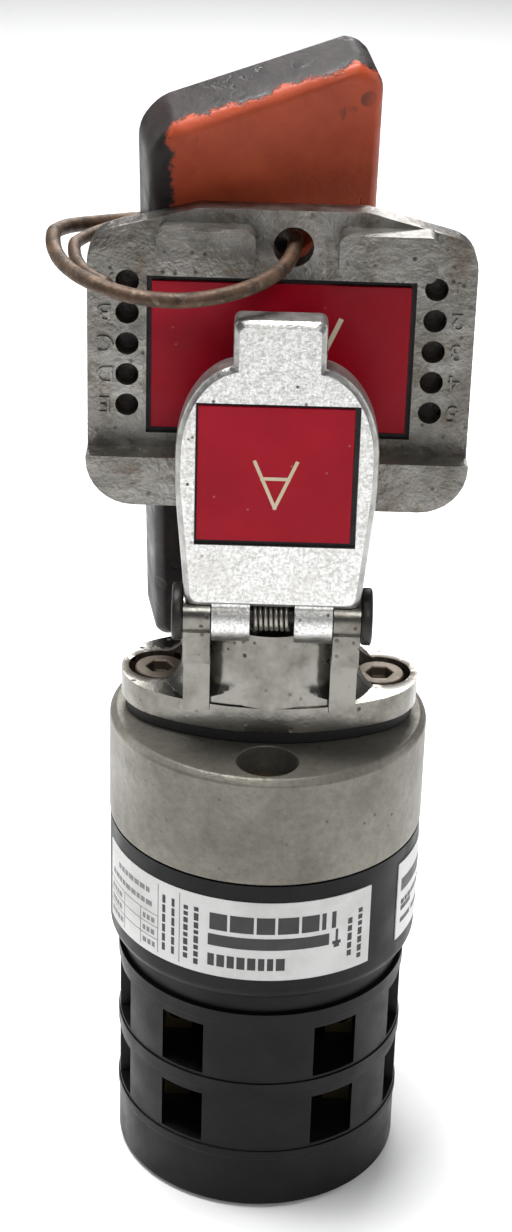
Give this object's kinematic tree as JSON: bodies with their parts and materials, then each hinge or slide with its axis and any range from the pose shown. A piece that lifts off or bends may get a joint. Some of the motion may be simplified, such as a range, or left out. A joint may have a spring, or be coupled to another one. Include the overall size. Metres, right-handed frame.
{
  "type": "key-operated cam switch",
  "caption": "Key-operated rotary cam switch with flanged lock, sprung dust cover, captive key, wire ring and tag.",
  "frame": {"origin": "centre of the flat base of the end cap", "axes": "+Z from the base towards the key, -Y towards the dust cover, +X to the right"},
  "size_m": [0.0621, 0.0676, 0.1847],
  "materials": {
    "black_plastic": "satin",
    "label_paper": "matte",
    "cast_zinc": "sand-cast",
    "gasket_rubber": "matte",
    "lock_nickel": "worn polish",
    "cover_metal": "worn satin",
    "pin_black": "satin",
    "steel": "satin",
    "brass": "satin",
    "ivory_plastic": "matte",
    "red_plastic": "matte",
    "key_metal": "worn satin",
    "red_plate": "gloss",
    "ring_wire": "rusty",
    "tag_paint": "worn paint"
  },
  "bodies": {
    "housing": {"end_cap": "black_plastic", "contact_stage_1": "black_plastic", "contact_stage_2": "black_plastic", "tie_bolts": "steel", "terminals_1": "brass", "terminals_2": "brass", "terminal_screws_1": "steel", "terminal_screws_2": "steel", "latch_housing": "black_plastic", "latch_slides": "ivory_plastic", "latch_springs": "steel", "latch_cover": "black_plastic", "rating_label": "label_paper", "side_label": "label_paper", "collar": "cast_zinc", "collar_screws": "steel", "gasket": "gasket_rubber", "lock_body": "lock_nickel", "flange_screws": "steel"},
    "rotor": {"lock_barrel": "lock_nickel", "barrel_clip": "steel", "coupling": "ivory_plastic", "drive_shaft": "steel", "cam_1": "ivory_plastic", "cam_2": "ivory_plastic", "star_wheel": "ivory_plastic"},
    "key": {"key_head": "key_metal", "key_boss": "key_metal", "key_blade": "key_metal", "key_label": "red_plate"},
    "ring": {"key_ring": "ring_wire"},
    "tag": {"tag": "tag_paint"},
    "pin": {"hinge_pin": "pin_black"},
    "cover": {"dust_cover": "cover_metal", "cover_label": "red_plate", "cover_spring": "steel"},
    "plunger_1_right": {"plunger_1_right": "red_plastic", "bridge_1_right": "brass", "spring_1_right": "steel"},
    "plunger_1_left": {"plunger_1_left": "red_plastic", "bridge_1_left": "brass", "spring_1_left": "steel"},
    "plunger_2_right": {"plunger_2_right": "red_plastic", "bridge_2_right": "brass", "spring_2_right": "steel"},
    "plunger_2_left": {"plunger_2_left": "red_plastic", "bridge_2_left": "brass", "spring_2_left": "steel"}
  },
  "joints": [
    {"name": "key_turn", "type": "hinge", "parent": "housing", "child": "rotor", "pos_m": [0, 0, 0], "axis": [0, 0, -1], "range_deg": [0, 90]},
    {"name": "key_lift", "type": "slide", "parent": "rotor", "child": "key", "axis": [0, 0, 1], "range_m": [0, 0.02]},
    {"name": "ring_swing", "type": "hinge", "parent": "key", "child": "ring", "pos_m": [0.0017, -0.003, 0.157], "axis": [0, 1, 0], "range_deg": [0, 12]},
    {"name": "tag_swing", "type": "hinge", "parent": "ring", "child": "tag", "pos_m": [-0.0043, 0.0092, 0.1557], "axis": [-0.2301, 0.9228, 0.309], "range_deg": [-6, 6]},
    {"name": "pin_roll", "type": "hinge", "parent": "housing", "child": "pin", "pos_m": [0, -0.015, 0.1037], "axis": [1, 0, 0], "range_deg": [0, 79]},
    {"name": "cover_swing", "type": "hinge", "parent": "pin", "child": "cover", "pos_m": [0, -0.015, 0.1037], "axis": [1, 0, 0], "range_deg": [0, 15], "stiffness_Nm_per_rad": 0.02, "springref_deg": -68.75},
    {"name": "contact_1_right_slide", "type": "slide", "parent": "housing", "child": "plunger_1_right", "axis": [1, 0, 0], "range_m": [0, 0.0015]},
    {"name": "contact_1_left_slide", "type": "slide", "parent": "housing", "child": "plunger_1_left", "axis": [-1, 0, 0], "range_m": [0, 0.0015]},
    {"name": "contact_2_right_slide", "type": "slide", "parent": "housing", "child": "plunger_2_right", "axis": [1, 0, 0], "range_m": [-0.0015, 0]},
    {"name": "contact_2_left_slide", "type": "slide", "parent": "housing", "child": "plunger_2_left", "axis": [-1, 0, 0], "range_m": [-0.0015, 0]}
  ],
  "couplings": [
    {"joint": "pin_roll", "follows": "key_turn", "ratio": 0.87},
    {"joint": "contact_1_right_slide", "follows": "key_turn", "m_per_rad": 0.00095},
    {"joint": "contact_1_left_slide", "follows": "key_turn", "m_per_rad": 0.00095},
    {"joint": "contact_2_right_slide", "follows": "key_turn", "m_per_rad": -0.00095},
    {"joint": "contact_2_left_slide", "follows": "key_turn", "m_per_rad": -0.00095}
  ]
}
